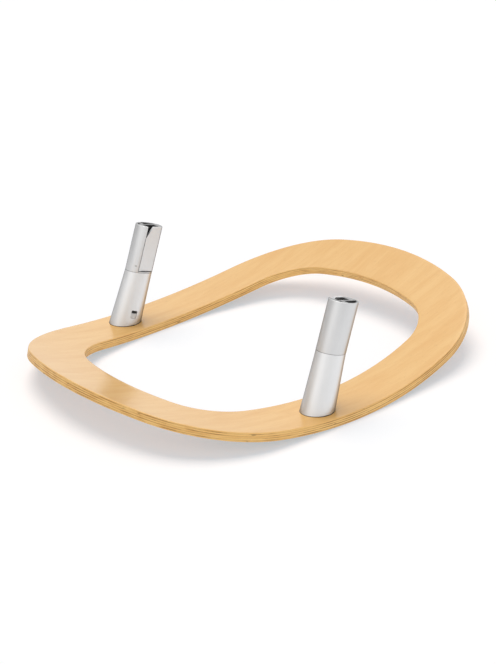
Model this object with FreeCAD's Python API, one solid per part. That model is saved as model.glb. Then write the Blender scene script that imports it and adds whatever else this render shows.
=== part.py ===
import FreeCAD, Part
import math
import os

V = FreeCAD.Vector
X_AXIS = V(1, 0, 0)
Y_AXIS = V(0, 1, 0)
Z_AXIS = V(0, 0, 1)

# Rocker board: one moulded plywood ring, bent about a line across its width.
# The plan outline is five tangent arcs from end to end, mirrored about the X axis.
# +X is the wide, rounder end; the origin is midway between the ends, at the floor.
board_length = 573.0
board_width = 495.0
widest_x = -24.5
wide_end_radius = 420.0
shoulder_radius = 165.0
side_radius = 860.0
corner_radius = 155.0
narrow_end_radius = 460.0

# Opening inside the ring, and how broad the band is left at each place
wide_end_band = 65.0
narrow_end_band = 72.5
side_band = 75.0
opening_widest_x = 2.5
opening_wide_end_radius = 375.0
opening_shoulder_radius = 90.0
opening_side_radius = 720.0
opening_corner_radius = 85.0
opening_narrow_end_radius = 395.0

# Bend of the board: its underside rolls on the floor about this line
bend_radius = 760.0
board_thickness = 12.0
rest_line_x = -24.0
edge_ease = 0.8

# Posts: one on each side of the opening, both leaning towards the wide end
post_x = -62.5
post_inset = 38.5
post_lean = 22.2
head_diameter = 38.0
post_length = 142.5
seam_height = 76.1
end_tilt = 6.7
foot_growth = 2.9
foot_shift = 2.8
flare_sag = 0.2
seam_chamfer = 0.35
rim_chamfer = 0.6

# Sleeve, its gasket and the spigot that carries it
sleeve_bore = 32.0
spigot_fit = 0.10
spigot_top_gap = 4.1
spigot_chamfer = 1.5
gasket_thickness = 1.0
neck_length = 15.0
neck_fit = 0.05

# Countersunk screws that come up through the board into the spigot
screw_diameter = 5.0
screw_length = 20.0
screw_head_diameter = 9.6
screw_clearance = 0.25
hole_mouth_drop = 0.1
hole_overrun = 1.0
screw_offsets = (-6.5, 11.5)

# Snap lock: a sprung tongue in the spigot that holds the sleeve by its window
lock_turn = -12.8
window_width = 8.6
window_height = 11.4
window_bottom = 9.5
window_corner = 1.5
tongue_gap = 0.3
tongue_flush = 0.25
tongue_corner = 1.2
tongue_tail = 0.5
wing_reach = 1.2
wing_thickness = 2.5
wing_front = 13.0
stop_gap = 0.3
ramp_start = 0.45
ramp_lead = 1.0
ramp_depth = 4.2

# Hairpin spring behind the tongue and the plug it pushes on
lock_strip = 0.5
lock_strip_width = 7.0
lock_spring_height = 10.0
plug_face = 6.0
plug_length = 5.0

# Head: blade pocket, web and outer pocket, all open at the top
flap_flat = 15.3
flap_thickness = 3.0
flap_half_width = 11.1
flap_gap = 0.6
ledge_gap = 0.3
ledge_width = 2.2
pocket_depth = 13.8
pocket_length = 45.0
web_thickness = 3.0
shell_wall = 2.8
outer_pocket_length = 32.0
rib_x = -7.5
rib_thickness = 4.0
funnel_drop = 14.0

# Latch flap in the head's inner face, hinged on a cross pin above the seam
pin_diameter = 3.0
pin_inset = 11.4
pin_above_seam = 7.4
knuckle_radius = 2.9
hinge_fit = 0.05
flap_foot = 2.3
notch_drop = 15.6
notch_rise = 1.0
notch_width = 8.5
nose_height = 37.0
nose_length = 9.0
nose_face = 1.5
nose_reach = 2.2
nose_root = 0.5
nose_half_width = 5.0

# Hairpin spring behind the flap's foot, which holds the flap shut
hinge_space = 4.2
spring_well_drop = 2.2
spring_side_gap = 0.3
flap_strip = 0.4
flap_strip_width = 14.0
flap_spring_height = 6.2

# Lengths that only make the cutting shapes long enough
foot_overrun = 16.0
margin = 3.0
reach = 60.0

# Sizes that follow from the ones above
head_radius = head_diameter / 2
top_bend_radius = bend_radius - board_thickness
post_y = board_width / 2 - post_inset
spigot_height = seam_height - neck_length - spigot_top_gap
pin_height = seam_height + pin_above_seam
spigot_radius = sleeve_bore / 2 - spigot_fit
neck_radius = sleeve_bore / 2 - neck_fit
window_top = window_bottom + window_height
flap_back = flap_flat - flap_thickness
ledge_face = flap_back - ledge_gap
recess_half_width = flap_half_width + flap_gap
pocket_half_width = recess_half_width - ledge_width
web_face = pocket_depth - ledge_face
outer_pocket_face = web_face + web_thickness
hinge_back = flap_back - hinge_space
spring_well_floor = seam_height - spring_well_drop


def box(x_low, x_high, y_low, y_high, z_low, z_high):
    """A box between two corners."""
    size = (x_high - x_low, y_high - y_low, z_high - z_low)
    return Part.makeBox(size[0], size[1], size[2], V(x_low, y_low, z_low))


def rod(radius, start, direction, length):
    """A round bar from a point along a direction."""
    return Part.makeCylinder(radius, length, start, direction)


def prism_across(points, y_low, y_high):
    """A prism along Y from points given as (x, z)."""
    corners = [V(x, y_low, z) for x, z in points]
    face = Part.Face(Part.makePolygon(corners + corners[:1]))
    return face.extrude(V(0, y_high - y_low, 0))


def prism_along(points, x_low, x_high):
    """A prism along X from points given as (y, z)."""
    corners = [V(x_low, y, z) for y, z in points]
    face = Part.Face(Part.makePolygon(corners + corners[:1]))
    return face.extrude(V(x_high - x_low, 0, 0))


def rounded_bar(width, y_low, y_high, z_low, z_high, corner):
    """A bar along Y with its four long edges rounded."""
    bar = box(-width / 2, width / 2, y_low, y_high, z_low, z_high)
    along_y = [e for e in bar.Edges if abs(e.tangentAt(e.FirstParameter).y) > 0.9]
    return bar.makeFillet(corner, along_y)


def only_solid(shape):
    """The single solid of a boolean result."""
    return shape.removeSplitter().Solids[0]


def fillet_centre(first, second, radius, side):
    """Centre of an arc inside two circles (x, y, radius), touching both."""
    span = math.hypot(second[0] - first[0], second[1] - first[1])
    from_first = first[2] - radius
    from_second = second[2] - radius
    along = (span ** 2 + from_first ** 2 - from_second ** 2) / (2 * span)
    aside = math.sqrt(from_first ** 2 - along ** 2)
    ux = (second[0] - first[0]) / span
    uy = (second[1] - first[1]) / span
    base = (first[0] + along * ux, first[1] + along * uy)
    choices = [(base[0] - s * uy * aside, base[1] + s * ux * aside) for s in (1, -1)]
    return max(choices, key=lambda point: point[0] * side)


def touch_point(circle, centre):
    """Where an arc round centre touches the larger circle (x, y, radius)."""
    length = math.hypot(centre[0] - circle[0], centre[1] - circle[1])
    x = circle[0] + (centre[0] - circle[0]) / length * circle[2]
    y = circle[1] + (centre[1] - circle[1]) / length * circle[2]
    return (x, y)


def arc_edge(centre, radius, start, end):
    """The arc round centre from start to end, all in the XY plane."""
    first = math.atan2(start[1] - centre[1], start[0] - centre[0])
    last = math.atan2(end[1] - centre[1], end[0] - centre[0])
    middle = (first + last) / 2
    x = centre[0] + radius * math.cos(middle)
    y = centre[1] + radius * math.sin(middle)
    return Part.Arc(V(start[0], start[1], 0), V(x, y, 0), V(end[0], end[1], 0)).toShape()


def ring_outline(wide_x, narrow_x, half_width, side_x, radii):
    """A closed outline of five tangent arcs a side, mirrored about the X axis."""
    wide_radius, shoulder, side, corner, narrow_radius = radii
    wide_end = (wide_x - wide_radius, 0.0, wide_radius)
    long_side = (side_x, half_width - side, side)
    narrow_end = (narrow_x + narrow_radius, 0.0, narrow_radius)
    shoulder_centre = fillet_centre(wide_end, long_side, shoulder, 1)
    corner_centre = fillet_centre(narrow_end, long_side, corner, -1)
    joints = [
        (wide_x, 0.0),
        touch_point(wide_end, shoulder_centre),
        touch_point(long_side, shoulder_centre),
        touch_point(long_side, corner_centre),
        touch_point(narrow_end, corner_centre),
        (narrow_x, 0.0),
    ]
    centres = [wide_end, shoulder_centre, long_side, corner_centre, narrow_end]
    half = []
    for i in range(len(centres)):
        half.append(arc_edge(centres[i], radii[i], joints[i], joints[i + 1]))
    other_half = [edge.mirror(V(0, 0, 0), Y_AXIS) for edge in half]
    return Part.Wire(Part.__sortEdges__(half + other_half))


def bend_cylinder(radius):
    """The round space about the bend's axis, out to a radius."""
    width = board_width + 2 * reach
    return Part.makeCylinder(radius, width, V(rest_line_x, -width / 2, bend_radius), Y_AXIS)


def board_normal(x):
    """Unit vector square to the board where its top face passes x."""
    angle = math.asin((x - rest_line_x) / top_bend_radius)
    return V(-math.sin(angle), 0, math.cos(angle))


def board_top(x):
    """Height of the board's top face at x."""
    return bend_radius - math.sqrt(top_bend_radius ** 2 - (x - rest_line_x) ** 2)


def post_place():
    """Placement of the post's own frame: its foot on the board, Z up its axis."""
    foot = V(post_x, post_y, board_top(post_x))
    return FreeCAD.Placement(foot, FreeCAD.Rotation(Y_AXIS, post_lean))


def placed(shape):
    """A shape drawn in the back post's frame, moved to its place on the board."""
    moved = shape.copy()
    moved.Placement = post_place().multiply(moved.Placement)
    return moved


def lock_placed(shape):
    """A shape drawn square to the lock, turned about the post's axis."""
    turned = shape.copy()
    turned.rotate(V(0, 0, 0), Z_AXIS, lock_turn)
    return turned


def tilted_slab(z_low, z_high):
    """The space between two planes that share the tilt of the seam and the rim."""
    rise = reach * math.tan(math.radians(end_tilt))
    points = [(-reach, z_low - rise), (reach, z_low + rise), (reach, z_high + rise), (-reach, z_high - rise)]
    return prism_across(points, -reach, reach)


def foot_cone(inset):
    """The flared foot: round about an axis that leans outwards on its way down."""
    growth = foot_growth / seam_height
    low = -foot_overrun
    high = seam_height + foot_overrun
    wide = head_radius + growth * (seam_height - low) - inset
    narrow = head_radius + growth * (seam_height - high) - inset
    waist = (wide + narrow) / 2 - flare_sag
    flare = Part.Arc(V(wide, 0, low), V(waist, 0, (low + high) / 2), V(narrow, 0, high)).toShape()
    rest = Part.makePolygon([V(narrow, 0, high), V(0, 0, high), V(0, 0, low), V(wide, 0, low)])
    profile = Part.Face(Part.Wire([flare] + rest.Edges))
    cone = profile.revolve(V(0, 0, 0), Z_AXIS, 360)
    cone.rotate(V(0, 0, seam_height), X_AXIS, math.degrees(math.atan2(foot_shift, seam_height)))
    return cone


def foot_plane(height):
    """The space above a plane that is square to the board at the post's foot."""
    normal = board_normal(post_x)
    start = V(post_x, post_y, board_top(post_x)) + normal * height
    return Part.makeCylinder(reach, 4 * reach, start, normal)


def screw_axes():
    """Start point on the underside and direction of each mounting screw."""
    axes = []
    for offset in screw_offsets:
        x = post_x + offset
        normal = board_normal(x)
        start = V(x, post_y, board_top(x)) - normal * board_thickness
        axes.append((start, normal))
    return axes


def rocker_board():
    """The bent plywood ring, with its edges square to the bend and lightly eased."""
    half_length = board_length / 2
    half_width = board_width / 2
    outer = ring_outline(
        half_length, -half_length, half_width, widest_x,
        (wide_end_radius, shoulder_radius, side_radius, corner_radius, narrow_end_radius))
    opening = ring_outline(
        half_length - wide_end_band, -half_length + narrow_end_band,
        half_width - side_band, opening_widest_x,
        (opening_wide_end_radius, opening_shoulder_radius, opening_side_radius,
         opening_corner_radius, opening_narrow_end_radius))
    plan = Part.Face([outer, opening])
    plan.validate()
    column = plan.extrude(V(0, 0, bend_radius / 2))
    column.translate(V(0, 0, -margin))
    bend = bend_cylinder(bend_radius)
    underside = [f for f in bend.Faces if isinstance(f.Surface, Part.Cylinder)][0]
    skin = underside.common(column).Faces[0]
    board = skin.makeOffsetShape(-board_thickness, 0.001, fill=True)
    board = eased_board(board)
    for start, normal in screw_axes():
        mouth = start - normal * hole_mouth_drop
        hole = countersunk(mouth, normal, screw_clearance, 2 * board_thickness)
        board = board.cut([hole, other_side(hole)])
    return only_solid(board)


def eased_board(board):
    """The board with the long edges of both faces eased."""
    faces = [f for f in board.Faces if isinstance(f.Surface, Part.Cylinder)]
    edges = []
    for face in faces:
        if face.Area > board_length * board_thickness:
            edges.extend(face.Edges)
    return board.makeChamfer(edge_ease, edges)


def countersunk(start, normal, clearance, length):
    """A round shank with a countersunk head at its start."""
    head = screw_head_diameter / 2 + clearance
    radius = screw_diameter / 2 + clearance
    cone = Part.makeCone(head, radius, head - radius, start, normal)
    return cone.fuse(rod(radius, start, normal, length))


def mounting_screws():
    """Two countersunk screws at each post, up through the board into the spigot."""
    screws = []
    for start, normal in screw_axes():
        screw = only_solid(countersunk(start, normal, 0.0, screw_length))
        screws.extend([screw, other_side(screw)])
    return Part.makeCompound(screws)


def other_side(shape):
    """The same shape at the front post."""
    return shape.mirror(V(0, 0, 0), Y_AXIS)


def foot_gaskets():
    """Thin pads between the sleeves' feet and the board, round the spigots."""
    pad = placed(foot_cone(0.0)).common(bend_cylinder(top_bend_radius))
    pad = pad.cut(foot_plane(gasket_thickness))
    hole = rod(sleeve_bore / 2, V(0, 0, -reach), Z_AXIS, 2 * reach)
    pad = only_solid(pad.cut(placed(hole)))
    return Part.makeCompound([pad, other_side(pad)])


def foot_sleeve():
    """Lower half of the post: a flared sleeve with a straight bore and the lock window."""
    sleeve = placed(foot_cone(0.0).common(tilted_slab(-reach, seam_height)))
    sleeve = sleeve.common(foot_plane(gasket_thickness))
    bore = rod(sleeve_bore / 2, V(0, 0, -reach), Z_AXIS, 3 * reach)
    window = rounded_bar(window_width, -reach / 2, 0, window_bottom, window_top, window_corner)
    return only_solid(sleeve.cut(placed(bore)).cut(placed(lock_placed(window))))


def top_outer_edge(shape):
    """The longest edge of the highest face."""
    face = max(shape.Faces, key=lambda f: f.CenterOfMass.z)
    return max(face.Edges, key=lambda e: e.Length)


def bottom_outer_edge(shape):
    """The longest edge of the lowest face."""
    face = min(shape.Faces, key=lambda f: f.CenterOfMass.z)
    return max(face.Edges, key=lambda e: e.Length)


def mounting_spigot():
    """Solid plug screwed to the board, with the lock's cross pocket through it."""
    plug = rod(spigot_radius, V(0, 0, -reach), Z_AXIS, reach + spigot_height)
    plug = plug.makeChamfer(spigot_chamfer, [top_outer_edge(plug)])
    guide = rounded_bar(window_width, -reach / 2, 0, window_bottom, window_top, window_corner)
    wing_half = window_width / 2 + wing_reach
    wide = box(-wing_half, wing_half, -wing_front, reach / 2, window_bottom, window_top)
    plug = plug.cut(lock_placed(guide)).cut(lock_placed(wide))
    plug = placed(plug).common(bend_cylinder(top_bend_radius))
    for start, normal in screw_axes():
        plug = plug.cut(rod(screw_diameter / 2, start, normal, screw_length + hole_overrun))
    return only_solid(plug)


def lock_tongue():
    """The sprung tongue: flush and square below, sloping inwards towards its top."""
    low = window_bottom + tongue_gap
    high = window_top - tongue_gap
    width = window_width - 2 * tongue_gap
    body = rounded_bar(width, -reach / 2, -tongue_tail, low, high, tongue_corner)
    skin = foot_cone(tongue_flush)
    skin.rotate(V(0, 0, 0), Z_AXIS, -lock_turn)
    body = body.common(skin)
    face = -body.BoundBox.YMin
    start = low + ramp_start * (high - low)
    slope = [
        (-face - ramp_lead, start),
        (-face + ramp_depth, high),
        (-face + ramp_depth, high + margin),
        (-face - ramp_lead, high + margin),
    ]
    body = body.cut(prism_along(slope, -width, width))
    wing_half = window_width / 2 + wing_reach - tongue_gap
    wing_y = -wing_front + stop_gap
    wings = box(-wing_half, wing_half, wing_y, wing_y + wing_thickness, low, high)
    return only_solid(placed(lock_placed(body.fuse(wings))))


def spring_plug():
    """Block pressed into the outer end of the cross pocket, for the spring to push on."""
    half = window_width / 2 + wing_reach
    body = box(-half, half, plug_face, plug_face + plug_length, window_bottom, window_top)
    return only_solid(placed(lock_placed(body)))


def hairpin(width, y_low, y_high, z_low, height, strip):
    """A strip bent into a U, open at the top, that springs along Y."""
    radius = (y_high - y_low) / 2
    middle = (y_low + y_high) / 2
    start = V(-width / 2, middle, z_low + radius)
    outer = box(-width / 2, width / 2, y_low, y_high, z_low + radius, z_low + height)
    inner = box(-width / 2, width / 2, y_low + strip, y_high - strip, z_low + radius, z_low + height)
    outer = outer.fuse(rod(radius, start, X_AXIS, width))
    inner = inner.fuse(rod(radius - strip, start, X_AXIS, width))
    return only_solid(outer.cut(inner))


def lock_spring():
    """Hairpin between the tongue's tail and the plug."""
    low = (window_bottom + window_top - lock_spring_height) / 2
    spring = hairpin(lock_strip_width, -tongue_tail, plug_face, low, lock_spring_height, lock_strip)
    return placed(lock_placed(spring))


def seat_head():
    """Upper half of the post: neck below, flap recess, blade pocket and outer pocket."""
    rim = post_length + reach * math.tan(math.radians(end_tilt))
    body = rod(head_radius, V(0, 0, 0), Z_AXIS, 3 * reach).common(tilted_slab(seam_height, post_length))
    body = body.makeChamfer(seam_chamfer, [bottom_outer_edge(body)])
    body = body.makeChamfer(rim_chamfer, [top_outer_edge(body)])
    neck = rod(neck_radius, V(0, 0, seam_height - neck_length), Z_AXIS, neck_length + margin)
    body = body.fuse(neck)
    body = body.cut(flap_recess(rim)).cut(blade_pocket(rim)).cut(outer_pocket(rim))
    body = body.cut(rod(pin_diameter / 2, V(-reach, -pin_inset, pin_height), X_AXIS, 2 * reach))
    return only_solid(placed(body))


def flap_recess(rim):
    """Recess for the flap, deeper behind its hinge, with a well for the spring."""
    half = recess_half_width
    above_foot = tilted_slab(seam_height + flap_foot - flap_gap, rim)
    panel = box(-half, half, -reach, -ledge_face, 0, rim)
    hinge_top = pin_height + knuckle_radius + flap_gap
    hinge = box(-half, half, -reach, -hinge_back, 0, hinge_top)
    well_half = flap_strip_width / 2 + spring_side_gap
    well = box(-well_half, well_half, -flap_back, -hinge_back, spring_well_floor, hinge_top)
    return panel.fuse(hinge).common(above_foot).fuse(well)


def blade_pocket(rim):
    """Socket for the seat's blade, behind the flap, with a sloping lead-in."""
    half = pocket_half_width
    top = post_length - pocket_length
    front = -ledge_face - margin
    pocket = box(-half, half, front, web_face, top, rim)
    corner = post_length - half * math.tan(math.radians(end_tilt))
    lead_in = [
        (-half, corner - funnel_drop),
        (-recess_half_width, corner),
        (-recess_half_width, rim),
        (-half, rim),
    ]
    funnel = prism_across(lead_in, front, web_face)
    return pocket.fuse(funnel)


def outer_pocket(rim):
    """Pocket between the web and the round wall, crossed by a rib."""
    floor = post_length - outer_pocket_length
    round_space = rod(head_radius - shell_wall, V(0, 0, floor), Z_AXIS, rim)
    behind = box(-reach, reach, outer_pocket_face, reach, floor, rim)
    rib = box(rib_x - rib_thickness / 2, rib_x + rib_thickness / 2, 0, reach, 0, 2 * rim)
    return round_space.common(behind).cut(rib)


def latch_flap():
    """Flat flap with a notched top corner, knuckles at its foot and a latch nose."""
    panel = box(-flap_half_width, flap_half_width, -flap_flat, -flap_back, 0, post_length + reach)
    panel = panel.common(tilted_slab(seam_height + flap_foot, post_length))
    corner = post_length - flap_half_width * math.tan(math.radians(end_tilt))
    notch = prism_across(
        [(-flap_half_width - margin, corner - notch_drop), (-flap_half_width, corner - notch_drop),
         (-flap_half_width + notch_width, corner + notch_rise), (-flap_half_width - margin, corner + margin)],
        -reach, reach)
    knuckles = rod(knuckle_radius, V(-flap_half_width, -pin_inset, pin_height), X_AXIS, 2 * flap_half_width)
    bore = rod(pin_diameter / 2 + hinge_fit, V(-reach, -pin_inset, pin_height), X_AXIS, 2 * reach)
    flap = panel.cut(notch).fuse([knuckles, latch_nose()]).cut(bore)
    return only_solid(placed(flap))


def latch_nose():
    """Catch on the flap's back, sloping above and square below."""
    low = pin_height + nose_height
    root = -flap_back - nose_root
    tip = -flap_back + nose_reach
    points = [(root, low), (tip, low), (tip, low + nose_face), (root, low + nose_length)]
    return prism_along(points, -nose_half_width, nose_half_width)


def flap_pins():
    """One cross pin through each head, trimmed flush with its round face."""
    pin = rod(pin_diameter / 2, V(-reach / 2, -pin_inset, pin_height), X_AXIS, reach)
    pin = only_solid(placed(pin.common(rod(head_radius, V(0, 0, 0), Z_AXIS, 3 * reach))))
    return Part.makeCompound([pin, other_side(pin)])


def flap_spring():
    """Hairpin between the flap's foot and the back of the hinge recess."""
    low = spring_well_floor
    spring = hairpin(flap_strip_width, -flap_back, -hinge_back, low, flap_spring_height, flap_strip)
    return placed(spring)


def post_pieces():
    """The pieces that each post has to itself, drawn for the back post, by name."""
    return {
        "mounting_spigot": mounting_spigot(),
        "foot_sleeve": foot_sleeve(),
        "lock_tongue": lock_tongue(),
        "lock_spring": lock_spring(),
        "spring_plug": spring_plug(),
        "seat_head": seat_head(),
        "latch_flap": latch_flap(),
        "flap_spring": flap_spring(),
    }


def main():
    os.makedirs("parts", exist_ok=True)
    pieces = {
        "rocker_board": rocker_board(),
        "foot_gaskets": foot_gaskets(),
        "mounting_screws": mounting_screws(),
        "flap_pins": flap_pins(),
    }
    for name, shape in post_pieces().items():
        pieces["back_" + name] = shape
        pieces["front_" + name] = other_side(shape)
    for name, shape in pieces.items():
        shape.exportStep("parts/" + name + ".step")


main()
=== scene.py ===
import math

import bmesh
import bpy
from mathutils import Matrix, Vector


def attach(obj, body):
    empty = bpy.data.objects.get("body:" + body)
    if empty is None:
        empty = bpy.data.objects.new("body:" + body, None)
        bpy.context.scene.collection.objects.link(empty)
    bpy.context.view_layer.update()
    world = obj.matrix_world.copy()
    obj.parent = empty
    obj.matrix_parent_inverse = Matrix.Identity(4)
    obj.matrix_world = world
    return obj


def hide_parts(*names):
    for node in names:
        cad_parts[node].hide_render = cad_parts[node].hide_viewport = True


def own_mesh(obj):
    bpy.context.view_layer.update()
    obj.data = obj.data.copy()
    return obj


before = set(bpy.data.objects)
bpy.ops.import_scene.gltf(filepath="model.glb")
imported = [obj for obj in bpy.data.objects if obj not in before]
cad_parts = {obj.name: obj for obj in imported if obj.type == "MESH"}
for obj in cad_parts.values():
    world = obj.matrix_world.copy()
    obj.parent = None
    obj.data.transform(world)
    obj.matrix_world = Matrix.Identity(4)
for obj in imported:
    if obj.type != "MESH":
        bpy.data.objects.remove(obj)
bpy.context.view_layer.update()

# Sizes are in millimetres, and MM turns them into the frame's metres
MM = 0.001

# Board: its plan outline, its bend and its plies
BOARD_LENGTH = 573.0
BOARD_WIDTH = 495.0
BOARD_THICKNESS = 12.0
BEND_RADIUS = 760.0
REST_LINE_X = -24.0
OUTER_WIDEST_X = -24.5
OUTER_RADII = (420.0, 165.0, 860.0, 155.0, 460.0)
WIDE_END_BAND = 65.0
NARROW_END_BAND = 72.5
SIDE_BAND = 75.0
OPENING_WIDEST_X = 2.5
OPENING_RADII = (375.0, 90.0, 720.0, 85.0, 395.0)
EDGE_EASE = 0.8
PLY_COUNT = 9
PLY_WANDER = 0.9

# Posts, the same on both sides of the opening
POST_X = -62.5
POST_INSET = 38.5
POST_Y = BOARD_WIDTH / 2 - POST_INSET
POST_FOOT_Z = BEND_RADIUS - math.sqrt((BEND_RADIUS - BOARD_THICKNESS) ** 2 - (POST_X - REST_LINE_X) ** 2)
POST_LEAN = math.radians(22.2)
POST_LENGTH = 142.5
POST_RADIUS = 19.0
SEAM_HEIGHT = 76.1
END_TILT = math.radians(6.7)
FOOT_GROWTH = 2.9
FOOT_SHIFT = 2.8
FLARE_SAG = 0.2
GASKET = 1.0
SEAM_CHAMFER = 0.35
RIM_CHAMFER = 0.6
EDGE_SOFTNESS = 0.14

# Inside the sleeve: its bore, the lock window and the tongue's slope
BORE_RADIUS = 16.0
LOCK_TURN = math.radians(-12.8)
WINDOW_WIDTH = 8.6
WINDOW_HEIGHT = 11.4
WINDOW_LOW = 9.5
WINDOW_HIGH = WINDOW_LOW + WINDOW_HEIGHT
WINDOW_CORNER = 1.5
TONGUE_GAP = 0.3
SLOPE_START = 0.45
SLOPE_DEPTH = 4.4

# Inside the head: its neck, and the recess of the flap
NECK_FIT = 0.05
NECK_RADIUS = BORE_RADIUS - NECK_FIT
NECK_LENGTH = 15.0
FLAP_HALF_WIDTH = 11.1
FLAP_GAP = 0.6
FLAP_FLAT = 15.3
FLAP_THICKNESS = 3.0
FLAP_ABOVE_SEAM = 2.3
LEDGE_GAP = 0.3
LEDGE_WIDTH = 2.2
FLAP_BACK = FLAP_FLAT - FLAP_THICKNESS
RECESS_HALF = FLAP_HALF_WIDTH + FLAP_GAP
RECESS_FOOT = SEAM_HEIGHT + FLAP_ABOVE_SEAM - FLAP_GAP
LEDGE_FACE = FLAP_BACK - LEDGE_GAP

# Inside the head: the hinge's pin and space, and the well of the flap's spring
PIN_RADIUS = 1.5
PIN_INSET = 11.4
PIN_ABOVE_SEAM = 7.4
KNUCKLE_RADIUS = 2.9
HINGE_SPACE = 4.2
WELL_HALF = 7.3
WELL_DROP = 2.2
PIN_HEIGHT = SEAM_HEIGHT + PIN_ABOVE_SEAM
HINGE_TOP = PIN_HEIGHT + KNUCKLE_RADIUS + FLAP_GAP
HINGE_BACK = FLAP_BACK - HINGE_SPACE
WELL_FLOOR = SEAM_HEIGHT - WELL_DROP

# Inside the head: the pockets that are open at the top, and the rib between the outer ones
POCKET_LENGTH = 45.0
POCKET_BACK = 1.8
FUNNEL_DROP = 14.0
WEB_THICKNESS = 3.0
SHELL_WALL = 2.8
OUTER_LENGTH = 32.0
RIB_X = -7.5
RIB_THICKNESS = 4.0
POCKET_HALF = RECESS_HALF - LEDGE_WIDTH
POCKET_FLOOR = POST_LENGTH - POCKET_LENGTH
OUTER_FACE = POCKET_BACK + WEB_THICKNESS
OUTER_RADIUS = POST_RADIUS - SHELL_WALL
OUTER_FLOOR = POST_LENGTH - OUTER_LENGTH
RIB_SIDES = (RIB_X - RIB_THICKNESS / 2, RIB_X + RIB_THICKNESS / 2)

# Screws under the posts, and their holes in the board
SCREW_OFFSETS = (-6.5, 11.5)
SCREW_HEAD_RADIUS = 4.8
SCREW_RADIUS = 2.5
SCREW_LENGTH = 20.0
SCREW_TIP = 0.8
HEAD_RIM = 0.2
HEAD_EASE = 0.25
KEY_ACROSS = 3.0
KEY_DEPTH = 1.8
KEY_POINT = 0.6
HOLE_CLEARANCE = 0.25
HOLE_MOUTH_DROP = 0.1

# Reach of the blanks and cutting shapes, which only have to pass right through; HAIR is how
# far a cut that only has to meet another one runs into it
FLARE_OVERRUN = 16.0
BORE_REACH = (-60.0, 120.0)
HEAD_REACH = (40.0, 180.0)
CUT_TOP = 170.0
CUT_FRONT = -30.0
PIN_REACH = 30.0
MARGIN = 1.0
LONG_MARGIN = 3.0
SLOPE_HALF = 8.0
HAIR = 0.001

# Fineness of the meshes: steps along each stretch, angles in degrees that tell a face from an
# edge, the widths to which the copies' edges are eased, and two small distances in metres
ARC_STEPS = (30, 30, 56, 30, 36)
EDGE_STEPS = 4
BAND_STEPS = 14
WALL_STEPS = 6
CORNER_STEPS = 6
POST_STEPS = 112
FLARE_STEPS = 24
HOLE_STEPS = 48
PIN_STEPS = 24
POCKET_STEPS = (24, 12)
SCREW_STEPS = 36
SHARP_ANGLE = 40.0
POST_CREASE = 18.0
BOARD_CREASE = 35.0
SCREW_CREASE = 30.0
FLAT_ANGLE = 0.4
COPY_EASE = 0.12
PIN_EASE = 0.1
MERGE_DISTANCE = 2e-6
CUT_SNAP = 1e-7

# Camera, as the photograph was taken: angles in degrees, lengths in millimetres
VIEW_TURN = 36.559
VIEW_DOWN = 22.695
VIEW_ROLL = -4.172
VIEW_DISTANCE = 2506.7
VIEW_FOCAL_PIXELS = 1784.5
VIEW_AIM = (52.23, 76.17)
IMAGE_WIDTH = 496
SENSOR_WIDTH = 36.0

# Light: the floor's own glow, the world as diffuse rays see it, the room that the metal
# mirrors, and two soft lamps with their angles in degrees
FLOOR_GLOW = (0.17, 0.308, 0.42, 1.0)
WORLD_FILL = 0.42
ROOM_GREY = 0.90
ROOM_AGAIN = 0.05
BRIGHT_SIDE = (-0.99, 0.11, 0.0)
BRIGHT_GAIN = 1.35
DARK_CORNER = (-0.40, 0.92, 0.0)
DARK_SHARE = 0.5
BAND_SHARE = 0.88
LAMP_STRENGTH = 1.7
LAMP_ANGLE = 42.0
LAMP_DIRECTION = (0.28, 0.62, 2.0)
FILL_STRENGTH = 0.55
FILL_ANGLE = 80.0
FILL_DIRECTION = (-0.9, -1.6, 0.9)

# Floor: half its width in metres, and the two tones of its faint mottling
FLOOR_HALF = 6.0
FLOOR_DARK = (0.825, 0.687, 0.585, 1.0)
FLOOR_PALE = (0.835, 0.697, 0.595, 1.0)

# Colours of the wood: its faces, its cut edges, the cross plies in them, pores and flaws
FACE_DARK = (0.808, 0.450, 0.138, 1.0)
FACE_LIGHT = (0.868, 0.532, 0.192, 1.0)
EDGE_DARK = (0.78, 0.43, 0.13, 1.0)
EDGE_LIGHT = (0.97, 0.63, 0.235, 1.0)
PLY_LINE = (0.40, 0.18, 0.05, 1.0)
PORE_BROWN = (0.50, 0.24, 0.07, 1.0)
FLAW_BROWN = (0.12, 0.05, 0.02, 1.0)

# Colours of the metal, plastic and rubber
RUBBER_DARK = (0.012, 0.012, 0.012, 1.0)
RUBBER_PALE = (0.035, 0.034, 0.033, 1.0)
CASTING = (0.55, 0.55, 0.54, 1.0)
PLATING = (0.50, 0.49, 0.47, 1.0)
SPRING = (0.42, 0.42, 0.43, 1.0)

# Where a finish or a painted shade changes, in millimetres: from a board face into its edge, away from the
# seam's dark line, the posts' painted shade fading down past the hinge, and painted shade below the round
# face at the tongue
EDGE_TURN = (0.15, 0.60)
SEAM_SHADE = (0.05, 0.30)
HINGE_SHADE = (52.0, 60.0)
TONGUE_SHADE = (0.2, 1.8)


# Shader helpers

def node(tree, kind, **values):
    """A node with its properties set and its inputs set or linked, by name or number."""
    made = tree.nodes.new(kind)
    inputs = values.pop("inputs", {})
    for name, value in values.items():
        setattr(made, name, value)
    for key, value in inputs.items():
        socket = made.inputs[key]
        if isinstance(value, bpy.types.NodeSocket):
            tree.links.new(value, socket)
        else:
            socket.default_value = value
    return made


def maths(tree, operation, first, second=0.0):
    """One Math node's result."""
    return node(tree, "ShaderNodeMath", operation=operation, inputs={0: first, 1: second}).outputs[0]


def plus(tree, first, second):
    """The sum of two values."""
    return maths(tree, "ADD", first, second)


def minus(tree, first, second):
    """The difference of two values."""
    return maths(tree, "SUBTRACT", first, second)


def times(tree, first, second):
    """The product of two values."""
    return maths(tree, "MULTIPLY", first, second)


def diagonal(tree, first, second):
    """The length of two values taken at right angles."""
    return maths(tree, "SQRT", plus(tree, times(tree, first, first), times(tree, second, second)))


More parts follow.
